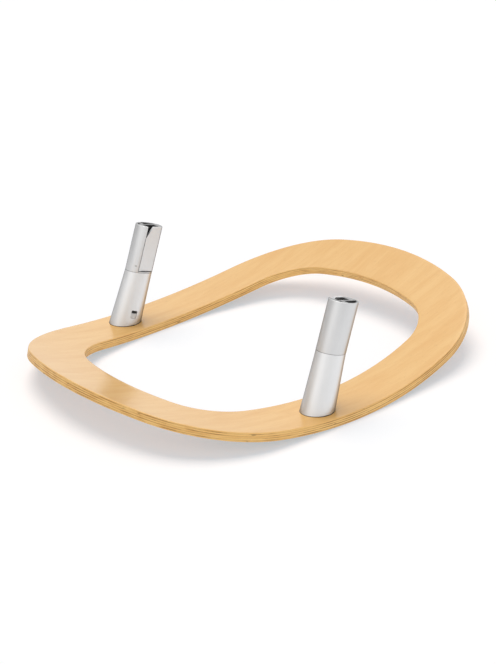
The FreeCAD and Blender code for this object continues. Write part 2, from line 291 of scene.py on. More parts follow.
def joined(tree, x=0.0, y=0.0, z=0.0):
    """A vector from its three parts."""
    return node(tree, "ShaderNodeCombineXYZ", inputs={0: x, 1: y, 2: z}).outputs[0]


def vectors(tree, operation, first, second):
    """The vector that one Vector Math node makes of two."""
    return node(tree, "ShaderNodeVectorMath", operation=operation, inputs={0: first, 1: second}).outputs[0]


def mix_value(tree, factor, first, second):
    """Two values blended."""
    return node(tree, "ShaderNodeMix", data_type="FLOAT", inputs={0: factor, 2: first, 3: second}).outputs[0]


def grey(level):
    """A grey of one level."""
    return (level, level, level, 1.0)


def smooth_range(tree, value, low, high, to_low=0.0, to_high=1.0):
    """A value eased from one range to another."""
    made = node(tree, "ShaderNodeMapRange", interpolation_type="SMOOTHSTEP",
                inputs={"Value": value, "From Min": low, "From Max": high,
                        "To Min": to_low, "To Max": to_high})
    return made.outputs["Result"]


def eased_over(tree, value, stretch, to_low=0.0, to_high=1.0):
    """A length eased over a stretch that is given in millimetres."""
    return smooth_range(tree, value, stretch[0] * MM, stretch[1] * MM, to_low, to_high)


def mix_colour(tree, factor, first, second, blend="MIX"):
    """Two colours blended."""
    made = node(tree, "ShaderNodeMix", data_type="RGBA", blend_type=blend,
                inputs={0: factor, 6: first, 7: second})
    return made.outputs[2]


def noise(tree, vector, scale, detail=2.0, roughness=0.5, distortion=0.0):
    """A noise value over a vector."""
    made = node(tree, "ShaderNodeTexNoise",
                inputs={"Vector": vector, "Scale": scale, "Detail": detail,
                        "Roughness": roughness, "Distortion": distortion})
    return made.outputs["Fac"]


def stretched(tree, vector, scale):
    """A vector scaled along its three axes."""
    made = node(tree, "ShaderNodeMapping", inputs={"Vector": vector, "Scale": scale})
    return made.outputs["Vector"]


def group_tree(name, inputs, outputs):
    """An empty shader group with named sockets, and its two end nodes."""
    tree = bpy.data.node_groups.new(name, "ShaderNodeTree")
    for label, kind, value in inputs:
        socket = tree.interface.new_socket(label, in_out="INPUT", socket_type=kind)
        if value is not None:
            socket.default_value = value
    for label, kind in outputs:
        tree.interface.new_socket(label, in_out="OUTPUT", socket_type=kind)
    return tree, tree.nodes.new("NodeGroupInput"), tree.nodes.new("NodeGroupOutput")


def placed_group(tree, group, **inputs):
    """A shader group placed in a material, with its inputs set by name."""
    made = tree.nodes.new("ShaderNodeGroup")
    made.node_tree = group
    for name, value in inputs.items():
        socket = made.inputs[name.replace("_", " ")]
        if isinstance(value, bpy.types.NodeSocket):
            tree.links.new(value, socket)
        else:
            socket.default_value = value
    return made


def new_material(name):
    """A material with an empty Principled shader, its tree and object coordinates."""
    material = bpy.data.materials.new(name)
    material.use_nodes = True
    tree = material.node_tree
    tree.nodes.clear()
    shader = tree.nodes.new("ShaderNodeBsdfPrincipled")
    output = tree.nodes.new("ShaderNodeOutputMaterial")
    tree.links.new(shader.outputs[0], output.inputs["Surface"])
    coordinates = tree.nodes.new("ShaderNodeTexCoord").outputs["Object"]
    return material, tree, shader, coordinates


def surface(tree, shader, colour, roughness, height, strength, distance):
    """Gives a shader its colour, its roughness and a fine relief; distance is in metres."""
    bump = node(tree, "ShaderNodeBump", inputs={"Strength": strength, "Distance": distance, "Height": height})
    tree.links.new(colour, shader.inputs["Base Color"])
    tree.links.new(roughness, shader.inputs["Roughness"])
    tree.links.new(bump.outputs[0], shader.inputs["Normal"])


# Shared finishes

def grain_group():
    """Fine wood grain along X: a tone, a pore mask and a height."""
    tree, given, result = group_tree(
        "wood_grain",
        [("Vector", "NodeSocketVector", None), ("Seed", "NodeSocketFloat", 0.0),
         ("Streak", "NodeSocketFloat", 1.0)],
        [("Tone", "NodeSocketFloat"), ("Pores", "NodeSocketFloat"), ("Height", "NodeSocketFloat")])
    moved = vectors(tree, "ADD", given.outputs["Vector"],
                    joined(tree, given.outputs["Seed"], given.outputs["Seed"]))
    sway = noise(tree, stretched(tree, moved, (2.5, 6.0, 6.0)), 1.0, 1.0)
    waved = vectors(tree, "ADD", moved, joined(tree, y=times(tree, minus(tree, sway, 0.5), 0.05)))
    broad = noise(tree, stretched(tree, waved, (3.0, 45.0, 45.0)), 1.0, 3.0, 0.6)
    fine = noise(tree, stretched(tree, waved, (22.0, 900.0, 900.0)), 1.0, 2.0, 0.6)
    pores = noise(tree, stretched(tree, waved, (140.0, 1500.0, 1500.0)), 1.0, 0.0)
    pore_mask = smooth_range(tree, pores, 0.68, 0.80)
    tone = plus(tree, times(tree, broad, 0.65), times(tree, fine, 0.35))
    tone = plus(tree, 0.5, times(tree, minus(tree, tone, 0.5), given.outputs["Streak"]))
    height = minus(tree, fine, pore_mask)
    tree.links.new(tone, result.inputs["Tone"])
    tree.links.new(pore_mask, result.inputs["Pores"])
    tree.links.new(height, result.inputs["Height"])
    return tree


def metal_group():
    """Handled metal: faint clouding of the colour, uneven gloss and a fine tooth."""
    tree, given, result = group_tree(
        "metal_finish",
        [("Vector", "NodeSocketVector", None), ("Colour", "NodeSocketColor", (0.7, 0.7, 0.7, 1.0)),
         ("Gloss", "NodeSocketFloat", 0.35), ("Clouding", "NodeSocketFloat", 0.1),
         ("Tooth", "NodeSocketFloat", 2500.0)],
        [("Colour", "NodeSocketColor"), ("Roughness", "NodeSocketFloat"), ("Height", "NodeSocketFloat")])
    vector = given.outputs["Vector"]
    cloud = noise(tree, vector, 38.0, 3.0, 0.55)
    streak = noise(tree, stretched(tree, vector, (260.0, 260.0, 30.0)), 1.0, 2.0)
    tooth = node(tree, "ShaderNodeTexNoise",
                 inputs={"Vector": vector, "Scale": given.outputs["Tooth"], "Detail": 1.0}).outputs["Fac"]
    mixed = plus(tree, times(tree, cloud, 0.7), times(tree, streak, 0.3))
    centred = minus(tree, mixed, 0.5)
    amount = times(tree, centred, given.outputs["Clouding"])
    colour = mix_colour(tree, 1.0, given.outputs["Colour"], joined(tree, amount, amount, amount), "ADD")
    roughness = plus(tree, given.outputs["Gloss"], times(tree, centred, 0.25))
    tree.links.new(colour, result.inputs["Colour"])
    tree.links.new(roughness, result.inputs["Roughness"])
    tree.links.new(tooth, result.inputs["Height"])
    return tree


def post_frame_group():
    """The post's own coordinates for both posts, and three measures of a point on it.

    Skin depth is the way in from the post's round face, rim drop the way down from its
    tilted top, and seam gap the distance from the seam between its halves.
    """
    tree, given, result = group_tree(
        "post_frame", [("Vector", "NodeSocketVector", None)],
        [("Local", "NodeSocketVector"), ("Skin Depth", "NodeSocketFloat"), ("Rim Drop", "NodeSocketFloat"),
         ("Seam Gap", "NodeSocketFloat")])
    split = node(tree, "ShaderNodeSeparateXYZ", inputs={0: given.outputs[0]})
    folded = joined(tree, split.outputs[0], maths(tree, "ABSOLUTE", split.outputs[1]), split.outputs[2])
    place = (POST_X * MM, POST_Y * MM, POST_FOOT_Z * MM)
    local = node(tree, "ShaderNodeMapping", vector_type="TEXTURE",
                 inputs={"Vector": folded, "Location": place, "Rotation": (0.0, POST_LEAN, 0.0)}).outputs[0]
    part = node(tree, "ShaderNodeSeparateXYZ", inputs={0: local})
    risen = maths(tree, "DIVIDE", part.outputs[2], SEAM_HEIGHT * MM)
    below = maths(tree, "MAXIMUM", minus(tree, 1.0, risen), 0.0)
    radius = plus(tree, POST_RADIUS * MM, times(tree, below, FOOT_GROWTH * MM))
    across = minus(tree, part.outputs[1], times(tree, below, FOOT_SHIFT * MM))
    reach = diagonal(tree, part.outputs[0], across)
    level = minus(tree, part.outputs[2], times(tree, part.outputs[0], math.tan(END_TILT)))
    gap = maths(tree, "ABSOLUTE", minus(tree, level, SEAM_HEIGHT * MM))
    tree.links.new(local, result.inputs["Local"])
    tree.links.new(minus(tree, radius, reach), result.inputs["Skin Depth"])
    tree.links.new(minus(tree, POST_LENGTH * MM, level), result.inputs["Rim Drop"])
    tree.links.new(gap, result.inputs["Seam Gap"])
    return tree


WOOD_GRAIN = grain_group()
METAL_FINISH = metal_group()
POST_FRAME = post_frame_group()


def board_depth(tree, coordinates):
    """A point's height above the underside, square to the bend, and its place in the flat board."""
    split = node(tree, "ShaderNodeSeparateXYZ", inputs={0: coordinates})
    across = minus(tree, split.outputs[0], REST_LINE_X * MM)
    drop = minus(tree, BEND_RADIUS * MM, split.outputs[2])
    depth = minus(tree, BEND_RADIUS * MM, diagonal(tree, across, drop))
    along = times(tree, maths(tree, "ARCTAN2", across, drop), BEND_RADIUS * MM)
    return depth, joined(tree, along, split.outputs[1], depth)


def ply_lines(tree, depth, flat):
    """The dark cross plies at a cut edge: their mask, wandering and uneven in width."""
    pitch = 2 * BOARD_THICKNESS * MM / PLY_COUNT
    wander = minus(tree, noise(tree, flat, 7.0, 2.0), 0.5)
    level = plus(tree, depth, times(tree, wander, PLY_WANDER * MM))
    count = maths(tree, "DIVIDE", minus(tree, level, 0.75 * pitch), pitch)
    number = maths(tree, "FLOOR", plus(tree, count, 0.5))
    away = times(tree, maths(tree, "ABSOLUTE", minus(tree, count, number)), pitch)
    own = joined(tree, z=times(tree, number, 3.7))
    place = vectors(tree, "ADD", vectors(tree, "MULTIPLY", flat, (26.0, 26.0, 0.0)), own)
    vary = noise(tree, place, 1.0, 2.0, 0.6)
    half = smooth_range(tree, vary, 0.35, 0.68, 0.18 * MM, 0.58 * MM)
    fray = noise(tree, stretched(tree, flat, (420.0, 420.0, 900.0)), 1.0, 1.0)
    ragged = times(tree, minus(tree, fray, 0.5), 0.25 * MM)
    inner = minus(tree, plus(tree, away, ragged), half)
    line = eased_over(tree, inner, (-0.12, 0.16), 1.0, 0.0)
    strength = smooth_range(tree, vary, 0.30, 0.60, 0.45, 1.0)
    return times(tree, line, strength)


def veneer_face(tree, flat):
    """The board's faces: golden veneer with a slanting figure and fine pores, and its relief."""
    veneer = placed_group(tree, WOOD_GRAIN, Vector=flat, Seed=0.37, Streak=1.0)
    slanted = node(tree, "ShaderNodeMapping",
                   inputs={"Vector": flat, "Rotation": (0.0, 0.0, math.radians(48.0)),
                           "Scale": (14.0, 75.0, 14.0)}).outputs[0]
    figure = noise(tree, slanted, 1.0, 3.0, 0.6, 0.6)
    tone = plus(tree, times(tree, veneer.outputs["Tone"], 0.6), times(tree, figure, 0.4))
    colour = mix_colour(tree, smooth_range(tree, tone, 0.34, 0.66), FACE_DARK, FACE_LIGHT)
    colour = mix_colour(tree, times(tree, veneer.outputs["Pores"], 0.25), colour, PORE_BROWN)
    return colour, veneer.outputs["Height"]


def cut_edge(tree, depth, flat):
    """The board's cut edges: fibres, the dark plies and a few flaws, and their relief."""
    squeezed = stretched(tree, flat, (1.0, 1.0, 6.0))
    fibres = placed_group(tree, WOOD_GRAIN, Vector=squeezed, Seed=1.9, Streak=1.4)
    colour = mix_colour(tree, smooth_range(tree, fibres.outputs["Tone"], 0.25, 0.75), EDGE_DARK, EDGE_LIGHT)
    colour = mix_colour(tree, times(tree, ply_lines(tree, depth, flat), 0.85), colour, PLY_LINE)
    specks = noise(tree, stretched(tree, flat, (60.0, 60.0, 380.0)), 1.0, 1.0)
    flaws = smooth_range(tree, specks, 0.72, 0.77)
    colour = mix_colour(tree, times(tree, flaws, 0.7), colour, FLAW_BROWN)
    return colour, fibres.outputs["Height"]


def birch_plywood():
    """Lacquered birch: golden veneer faces, and the plies showing at the cut edges."""
    material, tree, shader, coordinates = new_material("birch_plywood")
    depth, flat = board_depth(tree, coordinates)
    face, face_height = veneer_face(tree, flat)
    edge, edge_height = cut_edge(tree, depth, flat)
    upper_turn = [BOARD_THICKNESS - turn for turn in reversed(EDGE_TURN)]
    low = eased_over(tree, depth, EDGE_TURN)
    high = eased_over(tree, depth, upper_turn, 1.0, 0.0)
    inside = times(tree, low, high)
    colour = mix_colour(tree, inside, face, edge)
    roughness = smooth_range(tree, inside, 0.0, 1.0, 0.5, 0.6)
    height = mix_value(tree, inside, face_height, edge_height)
    surface(tree, shader, colour, roughness, height, 0.06, 0.0003)
    tree.links.new(smooth_range(tree, inside, 0.0, 1.0, 1.0, 0.3), shader.inputs["Coat Weight"])
    shader.inputs["Specular IOR Level"].default_value = 0.15
    shader.inputs["Coat Roughness"].default_value = 0.24
    return material


def metal(name, colour, gloss, clouding, metallic=1.0, tooth=2500.0):
    """A metal or painted finish."""
    material, tree, shader, coordinates = new_material(name)
    local = placed_group(tree, POST_FRAME, Vector=coordinates).outputs["Local"]
    finish = placed_group(tree, METAL_FINISH, Vector=local, Colour=colour, Gloss=gloss,
                          Clouding=clouding, Tooth=tooth)
    surface(tree, shader, finish.outputs["Colour"], finish.outputs["Roughness"],
            finish.outputs["Height"], 0.05, 0.0002)
    shader.inputs["Metallic"].default_value = metallic
    return material


def shaded_metal(name, colour, gloss, clouding, skin, rim):
    """A metal finish with painted shade: a dull dark grey below the post's round face, inside it.

    skin is the range of depth over which the painted shade sets in, and rim the same below the top, in
    millimetres; the line at the seam is darkened too, and faces seen at a low angle get a painted dark
    reflection.
    """
    material, tree, shader, coordinates = new_material(name)
    place = placed_group(tree, POST_FRAME, Vector=coordinates)
    finish = placed_group(tree, METAL_FINISH, Vector=place.outputs["Local"], Colour=colour,
                          Gloss=gloss, Clouding=clouding)
    # Painted shade: the post's inside, below its round face and its top, turns a dull dark grey, with little
    # of it below the hinge
    sunk_shade = eased_over(tree, place.outputs["Skin Depth"], skin)
    under = eased_over(tree, place.outputs["Rim Drop"], rim)
    above_hinge = eased_over(tree, place.outputs["Rim Drop"], HINGE_SHADE, 1.0, 0.15)
    painted_recess_shade = times(tree, times(tree, sunk_shade, under), above_hinge)
    seam = eased_over(tree, place.outputs["Seam Gap"], SEAM_SHADE, 0.8, 0.0)
    dark = maths(tree, "MAXIMUM", painted_recess_shade, seam)
    # Painted dark reflection: faces seen at a low angle, towards the post's outline, are greyed
    facing = node(tree, "ShaderNodeLayerWeight", inputs={"Blend": 0.5}).outputs["Facing"]
    painted_grazing_shade = smooth_range(tree, facing, 0.40, 0.95, 0.0, 0.80)
    grazing_shaded_colour = mix_colour(tree, painted_grazing_shade, finish.outputs["Colour"], grey(0.22))
    # The painted shade and the seam's dark line, in near-black grey
    colour = mix_colour(tree, dark, grazing_shaded_colour, grey(0.03))
    roughness = maths(tree, "MAXIMUM", finish.outputs["Roughness"], times(tree, dark, 0.6))
    surface(tree, shader, colour, roughness, finish.outputs["Height"], 0.05, 0.0002)
    tree.links.new(minus(tree, 1.0, dark), shader.inputs["Metallic"])
    return material


def tongue_plastic():
    """Grey plastic, flush with the post below, with painted shade that turns it near black where it slopes
    inwards.
    """
    material, tree, shader, coordinates = new_material("grey_tongue")
    place = placed_group(tree, POST_FRAME, Vector=coordinates)
    grain = noise(tree, place.outputs["Local"], 900.0, 2.0)
    pale = mix_colour(tree, grain, grey(0.66), grey(0.73))
    # Painted shade: the slope below the round face turns near black
    sunk_shade = eased_over(tree, place.outputs["Skin Depth"], TONGUE_SHADE)
    colour = mix_colour(tree, sunk_shade, pale, grey(0.02))
    surface(tree, shader, colour, smooth_range(tree, grain, 0.2, 0.8, 0.38, 0.5), grain, 0.1, 0.0001)
    return material


def black_rubber():
    """Matt black gasket rubber with a fine grain."""
    material, tree, shader, coordinates = new_material("black_rubber")
    grain = noise(tree, coordinates, 1800.0, 2.0)
    colour = mix_colour(tree, grain, RUBBER_DARK, RUBBER_PALE)
    surface(tree, shader, colour, smooth_range(tree, grain, 0.2, 0.8, 0.6, 0.8), grain, 0.15, 0.0002)
    return material


PLYWOOD = birch_plywood()
SATIN_HEAD = shaded_metal("satin_head", grey(0.705), gloss=0.42, clouding=0.09,
                          skin=(0.5, 1.2), rim=(0.2, 1.5))
SATIN_SLEEVE = shaded_metal("satin_sleeve", grey(0.825), gloss=0.46, clouding=0.10,
                            skin=(0.5, 1.0), rim=(0.0, 1.0))
SATIN_FLAP = metal("satin_flap", grey(0.77), gloss=0.42, clouding=0.06)
BARE_CASTING = metal("bare_casting", CASTING, gloss=0.5, clouding=0.12)
GREY_TONGUE = tongue_plastic()
PLUG_PLASTIC = metal("plug_plastic", grey(0.30), gloss=0.5, clouding=0.05, metallic=0.0, tooth=4000.0)
PLATED_STEEL = metal("plated_steel", PLATING, gloss=0.3, clouding=0.15)
SPRING_STEEL = metal("spring_steel", SPRING, gloss=0.28, clouding=0.12)
BLACK_RUBBER = black_rubber()


# Meshes, objects and geometry trees

def linked(name, data):
    """An object for a mesh, a lamp or a camera, in the scene."""
    obj = bpy.data.objects.new(name, data)
    bpy.context.scene.collection.objects.link(obj)
    return obj


def mesh_from(builder, name):
    """A mesh from a builder, which is freed."""
    mesh = bpy.data.meshes.new(name)
    builder.to_mesh(mesh)
    builder.free()
    return mesh


def baked(carrier, name):
    """A plain mesh object from a carrier's modifiers, which go with the carrier."""
    graph = bpy.context.evaluated_depsgraph_get()
    mesh = bpy.data.meshes.new_from_object(carrier.evaluated_get(graph))
    for modifier in list(carrier.modifiers):
        carrier.modifiers.remove(modifier)
    mesh.name = name
    obj = linked(name, mesh)
    bpy.data.objects.remove(carrier)
    return obj


def reshape(carrier, operation, tool):
    """Joins a tool's shape to a carrier, or cuts it out."""
    change = carrier.modifiers.new("change", "BOOLEAN")
    change.operation = operation
    change.solver = "EXACT"
    change.object = tool


def carved(mesh, name, changes, ease):
    """A mesh object from a body and the shapes joined to it or cut from it, its edges eased."""
    carrier = linked(name + "_blank", mesh)
    tools = []
    for operation, shape in changes:
        tool = linked("tool", mesh_from(shape, "tool"))
        reshape(carrier, operation, tool)
        tools.append(tool)
    if ease > 0.0:
        bevel = carrier.modifiers.new("ease", "BEVEL")
        bevel.width = ease * MM
        bevel.segments = 2
        bevel.limit_method = "ANGLE"
        bevel.angle_limit = math.radians(SHARP_ANGLE)
    result = baked(carrier, name)
    for tool in tools:
        bpy.data.objects.remove(tool)
    return result


def dress(mesh, material):
    """Gives a mesh one material in place of its own."""
    mesh.materials.clear()
    mesh.materials.append(material)


def smooth_faces(mesh, crease=POST_CREASE):
    """Smooth shading that stays crisp at edges sharper than a crease angle."""
    mesh.polygons.foreach_set("use_smooth", [True] * len(mesh.polygons))
    mesh.set_sharp_from_angle(angle=math.radians(crease))


def lathe(sections, steps):
    """A closed turned shape along Z from (radius, height) sections, starting and ending on the axis."""
    builder = bmesh.new()
    angles = [2 * math.pi * i / steps for i in range(steps)]
    rings = []
    for radius, height in sections:
        if radius == 0.0:
            rings.append([builder.verts.new((0.0, 0.0, height * MM))])
        else:
            places = [(radius * MM * math.cos(a), radius * MM * math.sin(a), height * MM) for a in angles]
            rings.append([builder.verts.new(place) for place in places])
    for first, second in zip(rings, rings[1:]):
        for i in range(steps):
            corners = [first[i % len(first)], first[(i + 1) % len(first)],
                       second[(i + 1) % len(second)], second[i % len(second)]]
            unique = list(dict.fromkeys(corners))
            builder.faces.new(unique)
    bmesh.ops.recalc_face_normals(builder, faces=builder.faces)
    return builder


def rod(radius, low, high, steps):
    """A round bar along Z."""
    return lathe([(0.0, low), (radius, low), (radius, high), (0.0, high)], steps)


def prism(points, axis, low, high):
    """A straight prism of a flat outline along X, Y or Z; points name the other two in order."""
    builder = bmesh.new()
    order = {"X": (2, 0, 1), "Y": (0, 2, 1), "Z": (0, 1, 2)}[axis]
    ends = []
    for level in (low, high):
        ring = []
        for point in points:
            values = (point[0], point[1], level)
            ring.append(builder.verts.new([values[i] * MM for i in order]))
        ends.append(ring)
    count = len(points)
    for i in range(count):
        builder.faces.new((ends[0][i], ends[0][(i + 1) % count], ends[1][(i + 1) % count], ends[1][i]))
    builder.faces.new(ends[0])
    builder.faces.new(ends[1])
    bmesh.ops.recalc_face_normals(builder, faces=builder.faces)
    return builder


def geometry_tree(name, inputs):
    """A geometry group with named inputs, its end nodes, and each input's identifier."""
    tree = bpy.data.node_groups.new(name, "GeometryNodeTree")
    tree.interface.new_socket("Geometry", in_out="INPUT", socket_type="NodeSocketGeometry")
    names = {}
    for label, kind in inputs:
        names[label] = tree.interface.new_socket(label, in_out="INPUT", socket_type=kind).identifier
    tree.interface.new_socket("Geometry", in_out="OUTPUT", socket_type="NodeSocketGeometry")
    return tree, tree.nodes.new("NodeGroupInput"), tree.nodes.new("NodeGroupOutput"), names


def finish_tree(tree, result, geometry, material):
    """Ends a tree in Realize Instances and Set Material."""
    real = node(tree, "GeometryNodeRealizeInstances", inputs={"Geometry": geometry})
    dressed = node(tree, "GeometryNodeSetMaterial", inputs={"Geometry": real.outputs[0]})
    dressed.inputs["Material"].default_value = material
    tree.links.new(dressed.outputs[0], result.inputs[0])


# Board

def fillet_centre(first, second, radius, side):
    """Centre of an arc inside two circles (x, y, radius), touching both."""
    span = math.hypot(second[0] - first[0], second[1] - first[1])
    along = (span ** 2 + (first[2] - radius) ** 2 - (second[2] - radius) ** 2) / (2 * span)
    aside = math.sqrt((first[2] - radius) ** 2 - along ** 2)
    ux, uy = (second[0] - first[0]) / span, (second[1] - first[1]) / span
    choices = [(first[0] + along * ux - s * uy * aside, first[1] + along * uy + s * ux * aside)
               for s in (1, -1)]
    return max(choices, key=lambda point: point[0] * side)


def touch_point(circle, centre):
    """Where an arc round centre touches the larger circle (x, y, radius)."""
    length = math.hypot(centre[0] - circle[0], centre[1] - circle[1])
    return tuple(circle[i] + (centre[i] - circle[i]) / length * circle[2] for i in (0, 1))


def outline(wide_x, narrow_x, half_width, side_x, radii):
    """Points round a closed outline of tangent arcs, each with its inward direction."""
    wide = (wide_x - radii[0], 0.0, radii[0])
    side = (side_x, half_width - radii[2], radii[2])
    narrow = (narrow_x + radii[4], 0.0, radii[4])
    shoulder = fillet_centre(wide, side, radii[1], 1)
    corner = fillet_centre(narrow, side, radii[3], -1)
    joints = [(wide_x, 0.0), touch_point(wide, shoulder), touch_point(side, shoulder),
              touch_point(side, corner), touch_point(narrow, corner), (narrow_x, 0.0)]
    centres = [wide, shoulder, side, corner, narrow]
    points = []
    for i, steps in enumerate(ARC_STEPS):
        cx, cy = centres[i][0], centres[i][1]
        first = math.atan2(joints[i][1] - cy, joints[i][0] - cx)
        last = math.atan2(joints[i + 1][1] - cy, joints[i + 1][0] - cx)
        for k in range(steps):
            angle = first + (last - first) * k / steps
            c, s = math.cos(angle), math.sin(angle)
            points.append((cx + radii[i] * c, cy + radii[i] * s, -c, -s))
    points.append((narrow_x, 0.0, 1.0, 0.0))
    mirrored = [(x, -y, nx, -ny) for x, y, nx, ny in points[-2:0:-1]]
    return points + mirrored


def edge_profile():
    """The section of an eased edge, from the top face round to the bottom: (inset, height)."""
    arc = [math.pi / 2 * i / EDGE_STEPS for i in range(EDGE_STEPS + 1)]
    top = [(EDGE_EASE * (1 - math.sin(a)), BOARD_THICKNESS - EDGE_EASE * (1 - math.cos(a))) for a in arc]
    low, high = EDGE_EASE, BOARD_THICKNESS - EDGE_EASE
    wall = [(0.0, high + (low - high) * i / WALL_STEPS) for i in range(1, WALL_STEPS)]
    bottom = [(x, BOARD_THICKNESS - t) for x, t in reversed(top)]
    return top + wall + bottom


def between(first, second, steps):
    """The points that part a straight stretch into equal steps."""
    return [tuple(a + (b - a) * (i / steps) for a, b in zip(first, second)) for i in range(1, steps)]


def flat_blank():
    """The board before it is bent: a flat ring with eased edges, z as height in the board."""
    half_length, half_width = BOARD_LENGTH / 2, BOARD_WIDTH / 2
    outer = outline(half_length, -half_length, half_width, OUTER_WIDEST_X, OUTER_RADII)
    inner = outline(half_length - WIDE_END_BAND, -half_length + NARROW_END_BAND,
                    half_width - SIDE_BAND, OPENING_WIDEST_X, OPENING_RADII)
    profile = edge_profile()
    builder = bmesh.new()
    rings = []
    for (ox, oy, onx, ony), (ix, iy, inx, iny) in zip(outer, inner):
        outside = [(ox + onx * d, oy + ony * d, t) for d, t in profile]
        inside = [(ix - inx * d, iy - iny * d, t) for d, t in reversed(profile)]
        below = between(outside[-1], inside[0], BAND_STEPS)
        above = between(inside[-1], outside[0], BAND_STEPS)
        around = outside + below + inside + above
        rings.append([builder.verts.new(Vector(point) * MM) for point in around])
    count = len(rings[0])
    for first, second in zip(rings, rings[1:] + rings[:1]):
        for k in range(count):
            builder.faces.new((first[k], first[(k + 1) % count], second[(k + 1) % count], second[k]))
    bmesh.ops.recalc_face_normals(builder, faces=builder.faces)
    return mesh_from(builder, "flat_blank")


def bend_tree():
    """Bends a flat blank round the line where the board rests."""
    tree, given, result, names = geometry_tree(
        "bend_board", [("Bend Radius", "NodeSocketFloat"), ("Rest Line", "NodeSocketFloat")])
    position = node(tree, "GeometryNodeInputPosition")
    split = node(tree, "ShaderNodeSeparateXYZ", inputs={0: position.outputs[0]})
    radius, rest = given.outputs["Bend Radius"], given.outputs["Rest Line"]
    sine = maths(tree, "DIVIDE", minus(tree, split.outputs[0], rest), radius)
    cosine = maths(tree, "SQRT", minus(tree, 1.0, times(tree, sine, sine)))
    reach = minus(tree, radius, split.outputs[2])
    x = plus(tree, rest, times(tree, reach, sine))
    z = minus(tree, radius, times(tree, reach, cosine))
    bent = joined(tree, x, split.outputs[1], z)
    moved = node(tree, "GeometryNodeSetPosition", inputs={"Geometry": given.outputs[0], "Position": bent})
    finish_tree(tree, result, moved.outputs[0], PLYWOOD)
    return tree, names


def screw_places():
    """Where each screw meets the underside, and its direction into the post."""
    places = []
    top_radius = BEND_RADIUS - BOARD_THICKNESS
    for side in (1, -1):
        for offset in SCREW_OFFSETS:
            angle = math.asin((POST_X + offset - REST_LINE_X) / top_radius)
            normal = Vector((-math.sin(angle), 0.0, math.cos(angle)))
            foot = Vector((REST_LINE_X + BEND_RADIUS * math.sin(angle), side * POST_Y,
                           BEND_RADIUS - BEND_RADIUS * math.cos(angle)))
            places.append((foot * MM, normal))
    return places


def hole_cutters():
    """One mesh of the four countersunk holes."""
    head = SCREW_HEAD_RADIUS + HOLE_CLEARANCE
    shank = SCREW_RADIUS + HOLE_CLEARANCE
    low, high = -HOLE_MOUTH_DROP, 2 * BOARD_THICKNESS
    hole = [(0.0, low), (head, low), (shank, low + head - shank), (shank, high), (0.0, high)]
    merged = bmesh.new()
    for foot, normal in screw_places():
        builder = lathe(hole, HOLE_STEPS)
        turn = Vector((0, 0, 1)).rotation_difference(normal).to_matrix().to_4x4()
        builder.transform(Matrix.Translation(foot) @ turn)
        part = mesh_from(builder, "hole")
        merged.from_mesh(part)
        bpy.data.meshes.remove(part)
    return linked("hole_cutters", mesh_from(merged, "hole_cutters"))


def make_board():
    """The bent ring with its screw holes."""
    carrier = linked("board_blank", flat_blank())
    tree, names = bend_tree()
    bend = carrier.modifiers.new("bend", "NODES")
    bend.node_group = tree
    bend[names["Bend Radius"]] = BEND_RADIUS * MM
    bend[names["Rest Line"]] = REST_LINE_X * MM
    cutters = hole_cutters()
    reshape(carrier, "DIFFERENCE", cutters)
    board = baked(carrier, "bent_board")
    bpy.data.objects.remove(cutters)
    smooth_faces(board.data, BOARD_CREASE)
    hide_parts("rocker_board")
    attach(board, "base")


# Posts, drawn in the back post's own frame in millimetres

def rectangle(x_low, x_high, y_low, y_high):
    """The corners of a rectangle."""
    return [(x_low, y_low), (x_high, y_low), (x_high, y_high), (x_low, y_high)]


def rounded_rectangle(x_low, x_high, y_low, y_high, corner):
    """The corners of a rectangle, rounded."""
    points = []
    for cx, cy, start in ((x_high - corner, y_high - corner, 0), (x_low + corner, y_high - corner, 1),
                          (x_low + corner, y_low + corner, 2), (x_high - corner, y_low + corner, 3)):
        for i in range(CORNER_STEPS + 1):
            angle = math.pi / 2 * (start + i / CORNER_STEPS)
            points.append((cx + corner * math.cos(angle), cy + corner * math.sin(angle)))
    return points


def trimmed(builder, point, normal):
    """Cuts off what lies beyond a plane and closes the cut; gives the cut's edges."""
    geometry = builder.verts[:] + builder.edges[:] + builder.faces[:]
    cut = bmesh.ops.bisect_plane(builder, geom=geometry, plane_co=Vector(point) * MM, plane_no=Vector(normal),
                                 clear_outer=True, dist=CUT_SNAP)
    edges = [part for part in cut["geom_cut"] if isinstance(part, bmesh.types.BMEdge)]
    bmesh.ops.edgeloop_fill(builder, edges=edges)
    return edges


def tilted(height):
    """A point and an upward normal of the plane across the post that the seam and the rim share."""
    return (0.0, 0.0, height), (-math.sin(END_TILT), 0.0, math.cos(END_TILT))


def opposite(normal):
    """A direction turned round."""
    return tuple(-part for part in normal)


def sleeve_blank():
    """The flared foot as a solid, cut off at the seam and square to the board."""
    low, high = -FLARE_OVERRUN, SEAM_HEIGHT + FLARE_OVERRUN
    growth = FOOT_GROWTH / SEAM_HEIGHT
    wide = POST_RADIUS + growth * (SEAM_HEIGHT - low)
    narrow = POST_RADIUS + growth * (SEAM_HEIGHT - high)
    sections = [(0.0, low)]
    for i in range(FLARE_STEPS + 1):
        f = i / FLARE_STEPS
        sections.append((wide + (narrow - wide) * f - 4 * FLARE_SAG * f * (1 - f), low + (high - low) * f))
    sections.append((0.0, high))
    builder = lathe(sections, POST_STEPS)
    pivot = Matrix.Translation((0.0, 0.0, SEAM_HEIGHT * MM))
    builder.transform(pivot @ Matrix.Rotation(math.atan2(FOOT_SHIFT, SEAM_HEIGHT), 4, "X") @ pivot.inverted())
    trimmed(builder, *tilted(SEAM_HEIGHT))
    board_tilt = math.asin((REST_LINE_X - POST_X) / (BEND_RADIUS - BOARD_THICKNESS)) - POST_LEAN
    normal = (math.sin(board_tilt), 0.0, math.cos(board_tilt))
    trimmed(builder, [GASKET * part for part in normal], opposite(normal))
    return mesh_from(builder, "sleeve_blank")


